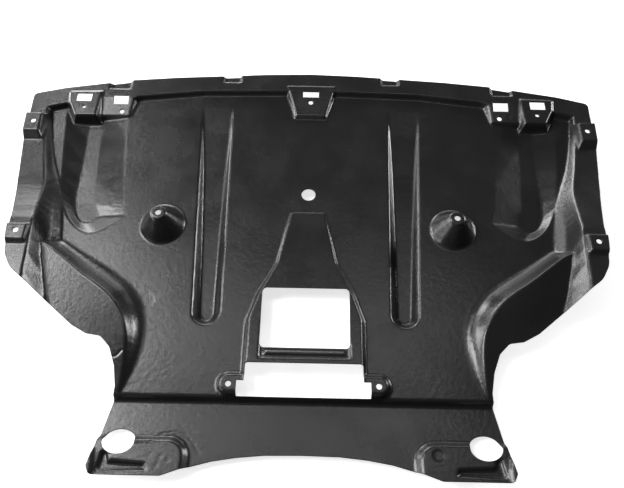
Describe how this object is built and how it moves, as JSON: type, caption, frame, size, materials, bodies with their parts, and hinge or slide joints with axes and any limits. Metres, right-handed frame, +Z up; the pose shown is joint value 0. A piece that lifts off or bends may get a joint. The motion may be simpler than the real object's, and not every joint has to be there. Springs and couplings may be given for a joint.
{
  "type": "engine splash shield",
  "caption": "Black moulded underbody panel with raised side flanges, screw tabs, hollow standoff cones, long channels, a service window and a rear slot.",
  "frame": {"origin": "middle of the part's box on the ground plane it lies on, upper (engine) side up", "axes": "+X across the vehicle, +Y towards the vehicle's front, +Z up towards the engine"},
  "size_m": [1.0814, 0.76, 0.079],
  "materials": {
    "shield": "semi-gloss black moulded plastic with a fine grain"
  },
  "bodies": {
    "root": {"splash_shield": "shield"}
  },
  "joints": []
}
